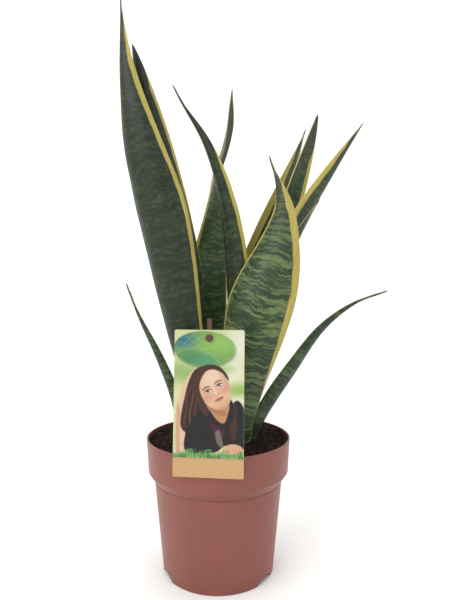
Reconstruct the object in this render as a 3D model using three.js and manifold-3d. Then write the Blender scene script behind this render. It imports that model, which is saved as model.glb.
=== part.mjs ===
// A young variegated snake plant in a plastic nursery pot, with a picture card on a stake.
// Millimetres, +Z up. The pot's axis is Z, its foot stands on z = 0 and its front faces -Y.
import * as THREE from "three";
import { ParametricGeometry } from "three/addons/geometries/ParametricGeometry.js";
import { mergeVertices } from "three/addons/utils/BufferGeometryUtils.js";
import Module from "manifold-3d";

// Gap between pieces that touch
const FIT = 0.3;

// Pot
const POT_HEIGHT = 110;
const RIM_RADIUS = 60;
const RIM_BAND_DEPTH = 27;
const RIM_BAND_DRAFT = 1.5;
const SHOULDER_HEIGHT = 7.5;
const SHOULDER_STEP = 5.2;
const BODY_TAPER = 7.2;
const WALL = 1.4;
const EDGE_ROUND = 0.45;
const FLOOR_LIFT = 5;
const FLOOR_THICKNESS = 1.6;
const PAD_RADIUS = 14;
const PAD_SLOPE = 1.2;
const DRAIN_HOLE_RADIUS = 4.5;
const DRAIN_HOLE_COUNT = 6;
const DRAIN_CIRCLE_RADIUS = 30;
const NOTCH_HEIGHT = 4.4;
const NOTCH_WIDTH = 20;
const NOTCH_COUNT = 3;
const NOTCH_FIRST_ANGLE = -35;
const ROUND_SEGMENTS = 48;

// Soil
const SOIL_DROP = 3;
const SOIL_HEAP = 3.5;
const SOIL_HEAP_CENTER = new THREE.Vector2(26, 36);
const SOIL_HEAP_RADIUS = 32;
const SOIL_RINGS = 6;

// Leaves
const ROOTING_DEPTH = 27;
const LEAF_THICKNESS = 3;
const LEAF_EDGE_SHARE = 0.38;
const LEAF_TIP_HALF_WIDTH = 0.3;
const LEAF_RINGS = 18;
const LEAF_COLUMNS = 6;

// Label: a card that leans on the rim and hangs from the button of a stake
const CARD_WIDTH = 52;
const CARD_HEIGHT = 107;
const CARD_THICKNESS = 0.8;
const CARD_CORNER = 1;
const CARD_BELOW_RIM = 13.5;
const BUTTON_FROM_CARD_TOP = 6;
const BUTTON_NECK_RADIUS = 1.6;
const BUTTON_HEAD_RADIUS = 2.8;
const BUTTON_HEAD_THICKNESS = 1.2;
const STAKE_WIDTH = 3.6;
const STAKE_THICKNESS = 2;
const STAKE_ABOVE_BUTTON = 14;
const STAKE_IN_SOIL = 38;
const STAKE_POINT = 8;
const STAKE_LEAN = THREE.MathUtils.degToRad(2);
const STAKE_TO_WALL = 4;
const LABEL_TURN = THREE.MathUtils.degToRad(-6.4);

// Each leaf: where it is rooted in plan, then its middle line as [across, back, height over the soil],
// facing: the compass direction its channel opens to, in degrees from +X, from root to tip
// fold: the half angle of its channel, in degrees, from root to tip
// width: greatest width; neck: share of it at the root; widest: where it is along the leaf
// taper: how early the leaf narrows to its point
const LEAVES = {
  tall_left_leaf: {
    root: [-20, -15],
    line: [
      [-21, -17, 33], [-31, -20, 103], [-46, -22, 178],
      [-64, -24, 243], [-73.5, -24, 298], [-77, -22, 363],
    ],
    facing: [70, 75, 78, 70, 60, 50], fold: [75, 60, 55, 50, 50],
    width: 50, neck: 0.32, widest: 0.55, taper: 1.7,
  },
  tall_left_back_leaf: {
    root: [-17, -5],
    line: [[-18, -5, 33], [-27, -6, 103], [-40, -9, 178], [-52.5, -11, 243], [-69.5, -12, 325]],
    facing: [70, 75, 72, 60], fold: [75, 60, 50],
    width: 42, neck: 0.3, widest: 0.5, taper: 0.8,
  },
  hooked_leaf: {
    root: [8, 5],
    line: [
      [12, 4.5, 43], [14, 3.5, 113], [10.5, -1, 168], [2, -6, 213],
      [-10.5, -10, 247], [-29, -12.5, 277], [-37, -13, 292],
    ],
    facing: [60, 54, 56, 60], fold: [75, 60, 50],
    width: 29.5, neck: 0.52, widest: 0.4, taper: 1.5,
  },
  center_back_leaf: {
    root: [-9.5, 20],
    line: [
      [-9.5, 24, 43], [-9.5, 24, 113], [-8.5, 24, 160], [-6.5, 24, 200],
      [-3.5, 24, 228], [4, 24, 250], [9.5, 24, 273], [12, 24, 303],
    ],
    facing: [-97, -97, -96, -92, -36, -12, -88], fold: [75, 40, 33, 35, 45],
    width: 33.5, neck: 0.5, widest: 0.41, taper: 1,
  },
  broad_front_leaf: {
    root: [17, -19],
    line: [[17, -21, 33], [28, -26, 103], [45, -29, 158], [50.5, -30, 193], [40, -28, 231]],
    facing: [80, 75, 72, 65, 60], fold: [70, 45, 40],
    width: 60, neck: 0.29, widest: 0.54, taper: 2,
  },
  right_pair_front_leaf: {
    root: [22, 32],
    line: [[26, 32, 43], [39, 34, 113], [57.5, 36, 183], [75.5, 38, 238], [90.5, 39, 286]],
    facing: [-70, -65, -60], fold: [75, 60, 50],
    width: 29, neck: 0.5, widest: 0.5, taper: 0.7,
  },
  right_pair_back_leaf: {
    root: [6, 38],
    line: [[11, 44, 43], [28, 50, 113], [50, 53, 183], [66.5, 53, 233], [81.5, 52, 277]],
    facing: [-95, -100, -105], fold: [70, 45, 40],
    width: 42, neck: 0.45, widest: 0.45, taper: 1.3,
  },
  right_back_leaf: {
    root: [34, 19],
    line: [[36, 18, 43], [48, 15, 113], [71, 13, 178], [100, 13, 230], [125.5, 14, 271]],
    facing: [165, 155, 150], fold: [75, 70, 65],
    width: 35, neck: 0.45, widest: 0.55, taper: 1.2,
  },
  short_right_back_leaf: {
    root: [25, 10],
    line: [[27.5, 7.5, 8], [31.5, 0.8, 43], [40, -1, 93], [58.5, -1, 155], [85, 1, 202]],
    facing: [-120, -120, -120], fold: [75, 60, 50],
    width: 21, neck: 0.48, widest: 0.45, taper: 1.2,
  },
  arched_right_leaf: {
    root: [29, -9.5],
    line: [[31, -9.5, 4], [39.5, -10, 24], [62.5, -9, 59], [86.5, -8, 93], [113, -7, 114.5], [141, -5, 125]],
    facing: [150, 150, 150], fold: [75, 70, 60],
    width: 22, neck: 0.62, widest: 0.35, taper: 1.8,
  },
  short_left_leaf: {
    root: [-25, -27],
    line: [[-33, -28, 33], [-46, -30, 71], [-61.5, -31, 105], [-71.5, -31, 131]],
    facing: [50, 50, 50], fold: [80, 75, 70],
    width: 13, neck: 0.7, widest: 0.3, taper: 1.4,
  },
};

const wasm = await Module();
wasm.setup();

// Manifold-3d and back ------------------------------------------------------------------------------

function solidFrom(geometry) {
  const bare = geometry.clone();
  bare.deleteAttribute("normal");
  bare.deleteAttribute("uv");
  const merged = mergeVertices(bare, 1e-4);
  const mesh = new wasm.Mesh({
    numProp: 3,
    vertProperties: new Float32Array(merged.attributes.position.array),
    triVerts: new Uint32Array(merged.index.array),
  });
  return new wasm.Manifold(mesh);
}

function geometryFrom(solid) {
  const mesh = solid.getMesh();
  const geometry = new THREE.BufferGeometry();
  geometry.setAttribute("position", new THREE.BufferAttribute(new Float32Array(mesh.vertProperties), 3));
  geometry.setIndex(new THREE.BufferAttribute(new Uint32Array(mesh.triVerts), 1));
  geometry.computeVertexNormals();
  return geometry;
}

// Pot -----------------------------------------------------------------------------------------------

const rimLowRadius = RIM_RADIUS - RIM_BAND_DRAFT;
const rimLowHeight = POT_HEIGHT - RIM_BAND_DEPTH;
const shoulderRadius = rimLowRadius - SHOULDER_STEP;
const shoulderHeight = rimLowHeight - SHOULDER_HEIGHT;
const footRadius = shoulderRadius - BODY_TAPER;
const soilLevel = POT_HEIGHT - SOIL_DROP;

// Outer radius of the wall at a height
function outerRadius(height) {
  if (height >= rimLowHeight) {
    return rimLowRadius + (RIM_BAND_DRAFT * (height - rimLowHeight)) / RIM_BAND_DEPTH;
  }
  if (height >= shoulderHeight) {
    return shoulderRadius + (SHOULDER_STEP * (height - shoulderHeight)) / SHOULDER_HEIGHT;
  }
  return footRadius + (BODY_TAPER * height) / shoulderHeight;
}

// Inside of the pot from the axis up to a height, moved in from the plastic by a gap
function insideProfile(height, gap) {
  const padTop = FLOOR_THICKNESS + gap;
  const floorTop = FLOOR_LIFT + FLOOR_THICKNESS + gap;
  const corners = [floorTop, shoulderHeight, rimLowHeight, height];
  return [
    new THREE.Vector2(0, padTop),
    new THREE.Vector2(PAD_RADIUS - WALL - gap, padTop),
    new THREE.Vector2(PAD_RADIUS + PAD_SLOPE - WALL - gap, floorTop),
    ...corners.map((z) => new THREE.Vector2(outerRadius(z) - WALL - gap, z)),
  ];
}

function potSolid() {
  const outside = [
    new THREE.Vector2(0, 0),
    new THREE.Vector2(PAD_RADIUS, 0),
    new THREE.Vector2(PAD_RADIUS + PAD_SLOPE, FLOOR_LIFT),
    new THREE.Vector2(outerRadius(FLOOR_LIFT) - WALL, FLOOR_LIFT),
    new THREE.Vector2(footRadius - WALL, 0),
    new THREE.Vector2(footRadius - EDGE_ROUND, 0),
    new THREE.Vector2(outerRadius(EDGE_ROUND), EDGE_ROUND),
    new THREE.Vector2(shoulderRadius, shoulderHeight),
    new THREE.Vector2(rimLowRadius - EDGE_ROUND, rimLowHeight - EDGE_ROUND),
    new THREE.Vector2(rimLowRadius, rimLowHeight),
    new THREE.Vector2(RIM_RADIUS, POT_HEIGHT - EDGE_ROUND),
    new THREE.Vector2(RIM_RADIUS - EDGE_ROUND, POT_HEIGHT),
  ];
  const inside = insideProfile(POT_HEIGHT, 0).reverse();
  const turned = new THREE.LatheGeometry([...outside, ...inside], ROUND_SEGMENTS);
  turned.rotateX(Math.PI / 2);
  let pot = solidFrom(turned);

  for (let i = 0; i < DRAIN_HOLE_COUNT; i += 1) {
    const angle = (2 * Math.PI * i) / DRAIN_HOLE_COUNT;
    const hole = new THREE.CylinderGeometry(DRAIN_HOLE_RADIUS, DRAIN_HOLE_RADIUS, 4 * FLOOR_THICKNESS, 16);
    hole.rotateX(Math.PI / 2);
    hole.translate(
      DRAIN_CIRCLE_RADIUS * Math.cos(angle),
      DRAIN_CIRCLE_RADIUS * Math.sin(angle),
      FLOOR_LIFT + FLOOR_THICKNESS / 2,
    );
    pot = pot.subtract(solidFrom(hole));
  }

  const arch = new THREE.Shape();
  arch.moveTo(-NOTCH_WIDTH / 2, -FLOOR_LIFT);
  arch.lineTo(NOTCH_WIDTH / 2, -FLOOR_LIFT);
  arch.lineTo(NOTCH_WIDTH / 2, 0);
  arch.absellipse(0, 0, NOTCH_WIDTH / 2, NOTCH_HEIGHT, 0, Math.PI);
  for (let i = 0; i < NOTCH_COUNT; i += 1) {
    const angle = THREE.MathUtils.degToRad(NOTCH_FIRST_ANGLE) + (2 * Math.PI * i) / NOTCH_COUNT;
    const notch = new THREE.ExtrudeGeometry(arch, { depth: 8 * WALL, bevelEnabled: false, curveSegments: 12 });
    notch.rotateX(Math.PI / 2);
    notch.rotateZ(Math.PI / 2);
    notch.translate(footRadius - 6 * WALL, 0, 0);
    notch.rotateZ(angle);
    pot = pot.subtract(solidFrom(notch));
  }
  return pot;
}

// Leaves --------------------------------------------------------------------------------------------

// Smooth curve through points, its parameter running with the distance between them
class MiddleLine extends THREE.Curve {
  constructor(points) {
    super();
    this.points = points;
    this.stops = [0];
    for (let i = 1; i < points.length; i += 1) {
      this.stops.push(this.stops[i - 1] + points[i].distanceTo(points[i - 1]));
    }
    const total = this.stops[points.length - 1];
    this.stops = this.stops.map((stop) => stop / total);
    this.slopes = points.map((_, i) => {
      const a = Math.max(i - 1, 0);
      const b = Math.min(i + 1, points.length - 1);
      return points[b].clone().sub(points[a]).divideScalar(this.stops[b] - this.stops[a]);
    });
  }

  getPoint(t, target = new THREE.Vector3()) {
    let i = 0;
    while (i < this.points.length - 2 && t >= this.stops[i + 1]) i += 1;
    const span = this.stops[i + 1] - this.stops[i];
    const s = (t - this.stops[i]) / span;
    target.set(0, 0, 0);
    target.addScaledVector(this.points[i], 2 * s ** 3 - 3 * s ** 2 + 1);
    target.addScaledVector(this.slopes[i], (s ** 3 - 2 * s ** 2 + s) * span);
    target.addScaledVector(this.points[i + 1], 3 * s ** 2 - 2 * s ** 3);
    target.addScaledVector(this.slopes[i + 1], (s ** 3 - s ** 2) * span);
    return target;
  }
}

// Smooth value at t of a list of evenly spaced values
function ramp(values, t) {
  const last = values.length - 1;
  const place = THREE.MathUtils.clamp(t, 0, 1) * last;
  const i = Math.min(Math.floor(place), last - 1);
  const f = place - i;
  const before = i > 0 ? values[i - 1] : 2 * values[0] - values[1];
  const after = i + 2 <= last ? values[i + 2] : 2 * values[last] - values[last - 1];
  const a = values[i];
  const b = values[i + 1];
  const cubic = 3 * (a - b) + after - before;
  const square = 2 * before - 5 * a + 4 * b - after;
  return a + 0.5 * f * (b - before + f * (square + f * cubic));
}

// Half width at t: it widens from the neck, then narrows to a drawn-out point
function halfWidth(leaf, t) {
  const rise = THREE.MathUtils.smoothstep(t, 0, leaf.widest);
  const past = THREE.MathUtils.clamp((t - leaf.widest) / (1 - leaf.widest), 0, 1);
  const share = t < leaf.widest ? leaf.neck + (1 - leaf.neck) * rise : (1 - past ** 1.8) ** leaf.taper;
  const point = 0.9 * Math.sqrt(THREE.MathUtils.clamp((1 - t) / 0.05, 0, 1)) + LEAF_TIP_HALF_WIDTH;
  return Math.max((leaf.width / 2) * share, point);
}

// A leaf is a channel: an arc of a circle carried along the middle line, thick in the middle and thin
// at its edges
function leafGeometry(leaf, grow) {
  const points = [[...leaf.root, -ROOTING_DEPTH - grow], ...leaf.line];
  const line = new MiddleLine(points.map(([x, y, z]) => new THREE.Vector3(x, y, z + soilLevel)));
  const half = LEAF_COLUMNS - 0.5;

  const surface = (u, v, target) => {
    const ring = Math.round(v * (LEAF_RINGS + 1));
    const t = THREE.MathUtils.clamp((ring - 1) / (LEAF_RINGS - 1), 0, 1);
    const closing = ring === 0 || ring === LEAF_RINGS + 1;
    const step = Math.round(u * 2 * LEAF_COLUMNS) % (2 * LEAF_COLUMNS);
    const column = step < LEAF_COLUMNS ? step : 2 * LEAF_COLUMNS - 1 - step;
    const side = step < half ? 1 : -1;
    const share = (2 * column) / (LEAF_COLUMNS - 1) - 1;

    const along = line.getPoint(Math.min(t + 1e-3, 1)).sub(line.getPoint(Math.max(t - 1e-3, 0))).normalize();
    const compass = THREE.MathUtils.degToRad(ramp(leaf.facing, t));
    const open = new THREE.Vector3(Math.cos(compass), Math.sin(compass), 0);
    open.addScaledVector(along, -open.dot(along)).normalize();
    const across = new THREE.Vector3().crossVectors(along, open);

    const width = halfWidth(leaf, t);
    const fold = THREE.MathUtils.degToRad(ramp(leaf.fold, t));
    const radius = width / fold;
    const angle = (fold + grow / radius) * share;
    const body = 0.35 + 0.65 * Math.min((2 * width) / leaf.width, 1);
    const full = (LEAF_THICKNESS / 2) * body * (1 - (1 - LEAF_EDGE_SHARE) * Math.abs(share) ** 2.5);
    const thickness = closing ? 0 : Math.min(full, 0.8 * width) + grow;
    const reach = radius - side * thickness;
    line.getPoint(t, target);
    target.addScaledVector(across, reach * Math.sin(angle));
    target.addScaledVector(open, radius - reach * Math.cos(angle));
  };
  return new ParametricGeometry(surface, 2 * LEAF_COLUMNS, LEAF_RINGS + 1);
}

// Label ---------------------------------------------------------------------------------------------

// The stake stands inside the wall and leans forward. The card leans back from the rim, and its top edge
// comes to the stake's face.
const stakeFoot = soilLevel - STAKE_IN_SOIL;
const stakeFaceAtFoot = outerRadius(stakeFoot) - WALL - STAKE_TO_WALL;
const cardAboveRim = CARD_HEIGHT - CARD_BELOW_RIM;
const buttonAboveRim = cardAboveRim - BUTTON_FROM_CARD_TOP;
const stakeFaceAtCardTop = stakeFaceAtFoot + Math.tan(STAKE_LEAN) * (POT_HEIGHT + cardAboveRim - stakeFoot);
const cardLean = Math.asin((RIM_RADIUS - stakeFaceAtCardTop) / cardAboveRim);
const stakeLength = POT_HEIGHT + buttonAboveRim + STAKE_ABOVE_BUTTON - stakeFoot;

// The card's frame: its origin is where the card's back meets the rim
function placeOnRim(object) {
  object.rotateX(-cardLean);
  object.translate(0, -(RIM_RADIUS + FIT), POT_HEIGHT);
  return object;
}

function cardGeometry() {
  const left = -CARD_WIDTH / 2;
  const bottom = -CARD_BELOW_RIM;
  const top = bottom + CARD_HEIGHT;
  const outline = new THREE.Shape();
  outline.moveTo(left + CARD_CORNER, bottom);
  outline.lineTo(-left - CARD_CORNER, bottom);
  outline.absarc(-left - CARD_CORNER, bottom + CARD_CORNER, CARD_CORNER, -Math.PI / 2, 0);
  outline.lineTo(-left, top - CARD_CORNER);
  outline.absarc(-left - CARD_CORNER, top - CARD_CORNER, CARD_CORNER, 0, Math.PI / 2);
  outline.lineTo(left + CARD_CORNER, top);
  outline.absarc(left + CARD_CORNER, top - CARD_CORNER, CARD_CORNER, Math.PI / 2, Math.PI);
  outline.lineTo(left, bottom + CARD_CORNER);
  outline.absarc(left + CARD_CORNER, bottom + CARD_CORNER, CARD_CORNER, Math.PI, 1.5 * Math.PI);
  const punched = new THREE.Path();
  punched.absarc(0, buttonAboveRim, BUTTON_NECK_RADIUS + FIT, 0, 2 * Math.PI, true);
  outline.holes.push(punched);
  const settings = { depth: CARD_THICKNESS, bevelEnabled: false, curveSegments: 6 };
  const card = new THREE.ExtrudeGeometry(outline, settings);
  card.rotateX(Math.PI / 2);
  return placeOnRim(card);
}

// Round part of the button, standing out of the card's plane from one depth to another
function buttonDisc(radius, back, front) {
  const disc = new THREE.CylinderGeometry(radius, radius, back - front, 20);
  disc.translate(0, (back + front) / 2, buttonAboveRim);
  return solidFrom(placeOnRim(disc));
}

function stakeSolid(grow) {
  const halfWidthOfStake = STAKE_WIDTH / 2 + grow;
  const blade = new THREE.Shape();
  blade.moveTo(0, -grow * 2);
  blade.lineTo(halfWidthOfStake, STAKE_POINT - grow);
  blade.lineTo(halfWidthOfStake, stakeLength + grow);
  blade.lineTo(-halfWidthOfStake, stakeLength + grow);
  blade.lineTo(-halfWidthOfStake, STAKE_POINT - grow);
  blade.closePath();
  const strip = new THREE.ExtrudeGeometry(blade, { depth: STAKE_THICKNESS + 2 * grow, bevelEnabled: false });
  strip.rotateX(Math.PI / 2);
  strip.translate(0, STAKE_THICKNESS + grow, 0);
  strip.rotateX(STAKE_LEAN);
  strip.translate(0, -stakeFaceAtFoot, stakeFoot);
  return solidFrom(strip);
}

// Assembly ------------------------------------------------------------------------------------------

const group = new THREE.Group();
group.name = "potted_snake_plant";

function addPiece(parent, name, geometry, color, roughness) {
  const material = new THREE.MeshStandardMaterial({ color, roughness, metalness: 0 });
  material.name = name;
  const piece = new THREE.Mesh(geometry, material);
  piece.name = name;
  parent.add(piece);
  return piece;
}

addPiece(group, "pot", geometryFrom(potSolid()), 0x9d6659, 0.5);

const label = new THREE.Group();
label.name = "label";
label.rotation.z = LABEL_TURN;
group.add(label);
addPiece(label, "label_card", cardGeometry(), 0xd5dfa8, 0.45);
const cardFront = -CARD_THICKNESS - FIT;
const stake = stakeSolid(0)
  .add(buttonDisc(BUTTON_NECK_RADIUS, STAKE_THICKNESS / 2, cardFront - BUTTON_HEAD_THICKNESS / 2))
  .add(buttonDisc(BUTTON_HEAD_RADIUS, cardFront, cardFront - BUTTON_HEAD_THICKNESS));
addPiece(label, "label_stake", geometryFrom(stake), 0x8a4a3a, 0.5);

// The soil fills the pot, with a low heap at the back right and a pocket round each leaf and the stake.
const surface = [];
const soilEdge = insideProfile(soilLevel, FIT);
const soilRadius = soilEdge[soilEdge.length - 1].x;
for (let i = SOIL_RINGS - 1; i >= 0; i -= 1) {
  surface.push(new THREE.Vector2((soilRadius * i) / SOIL_RINGS, soilLevel));
}
const heaped = new THREE.LatheGeometry([...soilEdge, ...surface], ROUND_SEGMENTS);
heaped.rotateX(Math.PI / 2);
const grains = heaped.attributes.position;
for (let i = 0; i < grains.count; i += 1) {
  if (Math.abs(grains.getZ(i) - soilLevel) < 1e-3) {
    const place = new THREE.Vector2(grains.getX(i), grains.getY(i));
    const far = place.distanceTo(SOIL_HEAP_CENTER) / SOIL_HEAP_RADIUS;
    grains.setZ(i, soilLevel + SOIL_HEAP * Math.exp(-far * far));
  }
}
let soil = solidFrom(heaped);
for (const leaf of Object.values(LEAVES)) {
  soil = soil.subtract(solidFrom(leafGeometry(leaf, FIT)));
}
const stakePocket = geometryFrom(stakeSolid(FIT));
stakePocket.rotateZ(LABEL_TURN);
soil = soil.subtract(solidFrom(stakePocket));
addPiece(group, "soil", geometryFrom(soil), 0x2a1d16, 1);

for (const [name, leaf] of Object.entries(LEAVES)) {
  addPiece(group, name, geometryFrom(solidFrom(leafGeometry(leaf, 0))), 0x3f5a34, 0.42);
}

export default group;
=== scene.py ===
"""A young variegated snake plant in a terracotta-brown nursery pot, with a picture card on a stake.

Each piece is made by its own operator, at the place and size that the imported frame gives. Metres, +Z up, the
front of the pot towards -Y.
"""

import math
import random

import bmesh
import bpy
import numpy as np
from bpy.props import FloatProperty, FloatVectorProperty, IntProperty, PointerProperty
from mathutils import Euler, Matrix, Vector, noise


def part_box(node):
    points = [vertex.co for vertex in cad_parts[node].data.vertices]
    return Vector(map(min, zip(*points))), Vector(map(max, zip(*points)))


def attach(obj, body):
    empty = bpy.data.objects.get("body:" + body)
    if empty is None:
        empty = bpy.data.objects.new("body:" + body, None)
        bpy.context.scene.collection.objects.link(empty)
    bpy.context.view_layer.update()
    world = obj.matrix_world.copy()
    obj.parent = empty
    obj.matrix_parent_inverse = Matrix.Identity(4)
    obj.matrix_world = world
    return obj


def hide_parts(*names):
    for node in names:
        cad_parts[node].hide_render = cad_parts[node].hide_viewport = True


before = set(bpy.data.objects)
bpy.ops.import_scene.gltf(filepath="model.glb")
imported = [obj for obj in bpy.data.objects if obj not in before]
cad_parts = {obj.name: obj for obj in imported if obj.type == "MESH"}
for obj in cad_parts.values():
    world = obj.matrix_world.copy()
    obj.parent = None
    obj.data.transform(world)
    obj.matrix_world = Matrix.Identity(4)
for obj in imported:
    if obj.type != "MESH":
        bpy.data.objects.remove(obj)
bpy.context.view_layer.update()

bl_info = {
    "name": "Potted snake plant",
    "version": (1, 0, 0),
    "blender": (4, 5, 0),
    "location": "3D View > Sidebar > Snake plant",
    "description": "Makes a potted snake plant with its label card, piece by piece",
    "category": "Add Mesh",
}

MM = 0.001

# Kinds of node, and the settings that they share
COORDINATES, ATTRIBUTE = "ShaderNodeTexCoord", "ShaderNodeAttribute"
JOIN, SPLIT = "ShaderNodeCombineXYZ", "ShaderNodeSeparateXYZ"
MATH, RANGE, RAMP = "ShaderNodeMath", "ShaderNodeMapRange", "ShaderNodeValToRGB"
NOISE, MIX, BUMP = "ShaderNodeTexNoise", "ShaderNodeMix", "ShaderNodeBump"
MULTIPLY, MULTIPLY_ADD = {"operation": "MULTIPLY"}, {"operation": "MULTIPLY_ADD"}
SUBTRACT, ABSOLUTE, SUM = {"operation": "SUBTRACT"}, {"operation": "ABSOLUTE"}, {"operation": "ADD"}
SMOOTH = {"interpolation_type": "SMOOTHSTEP"}
BLEND = {"data_type": "RGBA"}
DARKEN = {"data_type": "RGBA", "blend_type": "MULTIPLY"}


# Colours and nodes ------------------------------------------------------------------------------------


def linear(code):
    """Linear RGBA of an sRGB hex colour such as '9d6659'."""
    parts = [int(code[i : i + 2], 16) / 255 for i in (0, 2, 4)]
    return tuple(c / 12.92 if c <= 0.04045 else ((c + 0.055) / 1.055) ** 2.4 for c in parts) + (1.0,)


def add(tree, kind, settings=None, feeds=None, stops=None, output=0):
    """Adds a node with its settings, feeds its sockets values or other nodes, and gives back an output."""
    made = tree.nodes.new(kind)
    for name, value in (settings or {}).items():
        setattr(made, name, value)
    if stops:
        ramp = made.color_ramp
        while len(ramp.elements) < len(stops):
            ramp.elements.new(1.0)
        for element, (place, color) in zip(ramp.elements, stops):
            element.position = place
            element.color = color
    for name, value in (feeds or {}).items():
        if isinstance(value, bpy.types.NodeSocket):
            tree.links.new(value, made.inputs[name])
        else:
            made.inputs[name].default_value = value
    return made.outputs[output]


def new_material(name, roughness, ior=1.5):
    """A material with one Principled shader, and the tree and shader to build on."""
    material = bpy.data.materials.new(name)
    material.use_nodes = True
    tree = material.node_tree
    shader = tree.nodes["Principled BSDF"]
    shader.inputs["Roughness"].default_value = roughness
    shader.inputs["IOR"].default_value = ior
    return material, tree, shader


# Meshes -----------------------------------------------------------------------------------------------


def finish_piece(name, bm, node, materials, sharp=None):
    """Turns a bmesh into a piece of the object that stands for a node of the frame."""
    mesh = bpy.data.meshes.new(name)
    bm.to_mesh(mesh)
    bm.free()
    piece = bpy.data.objects.new(name, mesh)
    bpy.context.scene.collection.objects.link(piece)
    for material in materials:
        mesh.materials.append(material)
    mesh.shade_smooth()
    if sharp is not None:
        mesh.set_sharp_from_angle(angle=math.radians(sharp))
    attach(piece, "root")
    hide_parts(node)
    return piece


def cut(bm, cutters, operation="DIFFERENCE"):
    """The bmesh after other closed bmeshes are cut from it, or joined to it, one after another."""
    body_mesh = bpy.data.meshes.new("body")
    bm.to_mesh(body_mesh)
    bm.free()
    body = bpy.data.objects.new("body", body_mesh)
    bpy.context.scene.collection.objects.link(body)
    tools = []
    for cutter in cutters:
        tool_mesh = bpy.data.meshes.new("tool")
        cutter.to_mesh(tool_mesh)
        cutter.free()
        tool = bpy.data.objects.new("tool", tool_mesh)
        bpy.context.scene.collection.objects.link(tool)
        tools.append(tool)
        boolean = body.modifiers.new("cut", "BOOLEAN")
        boolean.operation = operation
        boolean.solver = "EXACT"
        boolean.object = tool
    bpy.context.view_layer.update()
    made = bmesh.new()
    made.from_object(body, bpy.context.evaluated_depsgraph_get())
    for other in [body, *tools]:
        mesh = other.data
        bpy.data.objects.remove(other)
        bpy.data.meshes.remove(mesh)
    return made


def spun(profile, steps):
    """A closed bmesh of a profile of (radius, height) in millimetres, spun round the Z axis."""
    bm = bmesh.new()
    corners = [bm.verts.new((radius * MM, 0.0, height * MM)) for radius, height in profile]
    edges = [bm.edges.new(pair) for pair in zip(corners, corners[1:])]
    bmesh.ops.spin(
        bm,
        geom=corners + edges,
        cent=(0, 0, 0),
        axis=(0, 0, 1),
        angle=2 * math.pi,
        steps=steps,
        use_merge=True,
    )
    bmesh.ops.remove_doubles(bm, verts=bm.verts, dist=1e-7)
    bmesh.ops.recalc_face_normals(bm, faces=bm.faces)
    return bm


def rounded(corners, radius, steps=4):
    """The profile with an arc of up to this radius at each corner between its ends."""
    points = [Vector(corners[0])]
    for before, corner, after in zip(corners, corners[1:], corners[2:]):
        corner = Vector(corner)
        back = Vector(before) - corner
        onward = Vector(after) - corner
        reach = min(radius, 0.4 * back.length, 0.4 * onward.length)
        start = corner + back.normalized() * reach
        end = corner + onward.normalized() * reach
        for i in range(steps + 1):
            t = i / steps
            points.append(start * (1 - t) ** 2 + corner * 2 * t * (1 - t) + end * t**2)
    points.append(Vector(corners[-1]))
    return [tuple(point) for point in points]


# Sizes and colours ------------------------------------------------------------------------------------


def color_property(name, description, code):
    """A colour that the user can change, whose default is an sRGB hex colour."""
    return FloatVectorProperty(
        name=name, description=description, subtype="COLOR", size=4, default=linear(code)
    )


POT_LOW, POT_HIGH = (Vector(corner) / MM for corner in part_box("pot"))
RIM_RADIUS = POT_HIGH.x
POT_HEIGHT = POT_HIGH.z
SOIL_LEVEL = POT_HEIGHT - 3.0
FIT = 0.3
BAND_DRAFT, SHOULDER_STEP, SHOULDER_HEIGHT, BODY_TAPER = 1.5, 5.2, 7.5, 7.2
FLOOR_LIFT, FLOOR_THICKNESS = 5.0, 1.6
HOLE_RADIUS, HOLE_CIRCLE, HOLE_COUNT = 4.5, 30.0, 6
NOTCH_HEIGHT, NOTCH_WIDTH, NOTCH_COUNT, FIRST_NOTCH = 4.4, 20.0, 3, -35.0
HEAP_PLACE, HEAP_RADIUS = (26.0, 36.0), 32.0


class PotSizes(bpy.types.PropertyGroup):
    """Sizes of the nursery pot"""

    wall: FloatProperty(
        name="Wall",
        description="Thickness of the wall in millimetres",
        default=1.4,
        min=0.8,
        max=3,
    )
    rim_depth: FloatProperty(
        name="Rim depth",
        description="Depth of the rim band in millimetres",
        default=27.0,
    )
    color: color_property("Plastic", "Colour of the pot's plastic", "7f4539")


class SoilSizes(bpy.types.PropertyGroup):
    """Sizes of the soil"""

    heap: FloatProperty(name="Heap", description="Height of the low heap in millimetres", default=3.5)
    crumbs: IntProperty(
        name="Crumbs",
        description="Number of loose crumbs on the surface",
        default=1500,
        min=0,
    )
    color: color_property("Peat", "Colour of the moist peat", "2c1f1b")


class LeafSizes(bpy.types.PropertyGroup):
    """Sizes of the leaves"""

    thickness: FloatProperty(
        name="Thickness",
        description="Greatest thickness in millimetres",
        default=3.0,
    )
    rings: IntProperty(name="Rings", description="Steps along each leaf", default=150, min=20, max=400)
    columns: IntProperty(name="Columns", description="Steps across each face", default=30, min=6, max=80)
    green: color_property("Dark green", "Colour between the cross bands", "20351d")
    band: color_property("Cross bands", "Colour of the cross bands", "687a48")
    margin: color_property("Margin", "Colour of the yellow margins", "a8994a")


class LabelSizes(bpy.types.PropertyGroup):
    """Sizes of the label card and its stake"""

    grid: FloatProperty(
        name="Print grid",
        description="Spacing of the printed dots in millimetres",
        default=0.3,
    )
    plastic: color_property("Stake", "Colour of the stake's plastic", "56352b")


class StageSizes(bpy.types.PropertyGroup):
    """Floor, lights and camera"""

    lens: FloatProperty(name="Lens", description="Focal length in millimetres", default=30.0)
    floor: color_property("Floor", "Colour of the floor and backdrop", "f4f4f2")


# Pot --------------------------------------------------------------------------------------------------


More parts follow.
